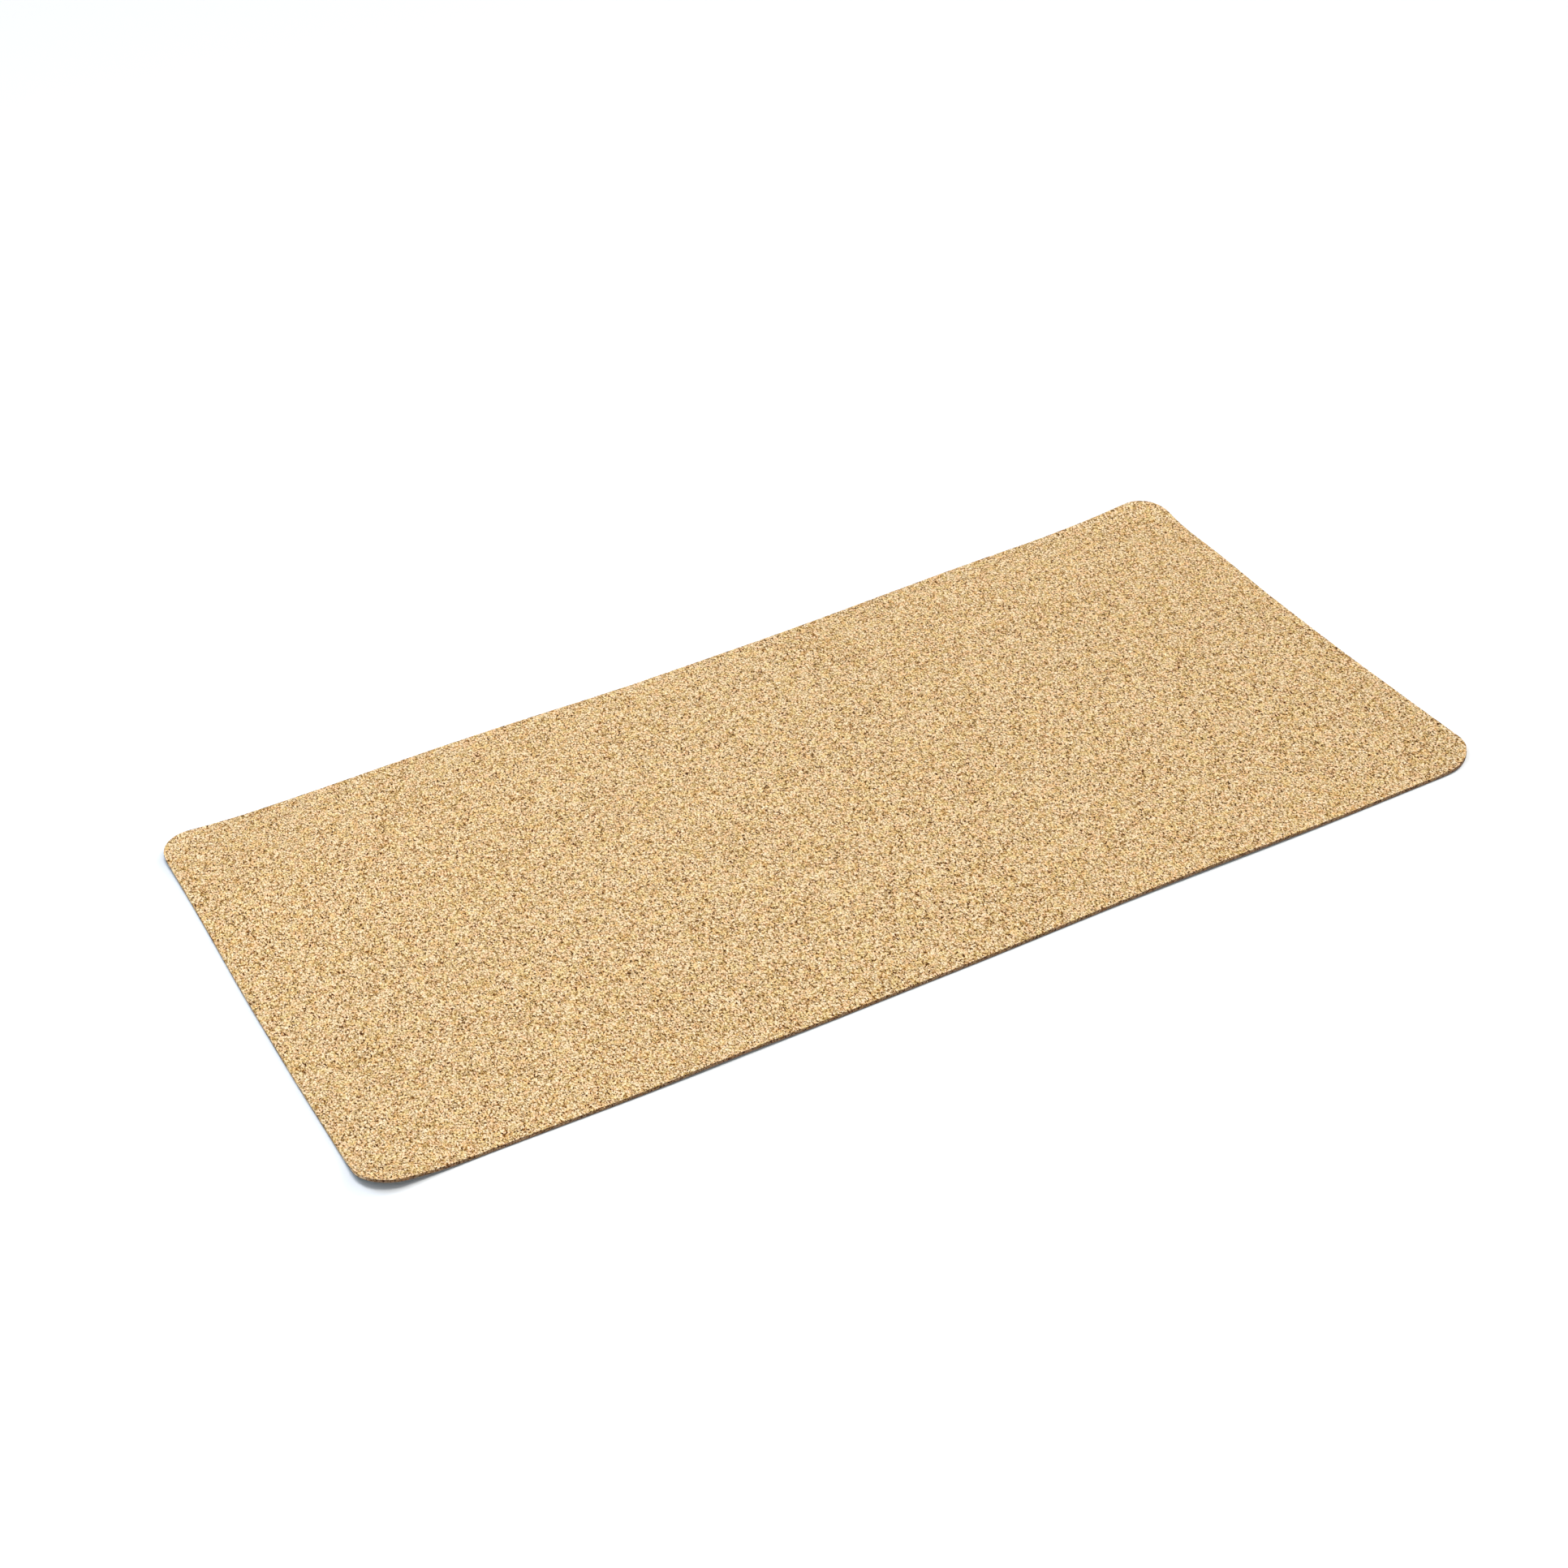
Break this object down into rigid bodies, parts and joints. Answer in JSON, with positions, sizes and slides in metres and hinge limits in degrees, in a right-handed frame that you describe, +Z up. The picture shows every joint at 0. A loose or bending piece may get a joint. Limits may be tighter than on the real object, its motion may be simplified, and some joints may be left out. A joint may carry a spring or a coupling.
{
  "type": "desk mat",
  "caption": "Flat rectangular desk mat with rounded corners: a pressed cork sheet laminated to a thin non-slip coated-cloth backing, to write, type and use a mouse on.",
  "frame": {"origin": "centre of the underside, on the surface that the mat lies on", "axes": "+X along the long side, +Y along the short side away from the user, +Z up through the thickness to the cork face"},
  "size_m": [0.795, 0.4, 0.003],
  "materials": {
    "skin": "matte, fine pebble grain",
    "cloth": "matte plain weave",
    "adhesive": "dried, translucent",
    "cork": "pressed cork granules, matte"
  },
  "bodies": {
    "root": {"backing_skin": "skin", "backing_cloth": "cloth", "bond_film": "adhesive", "cork_sheet": "cork"}
  },
  "joints": []
}
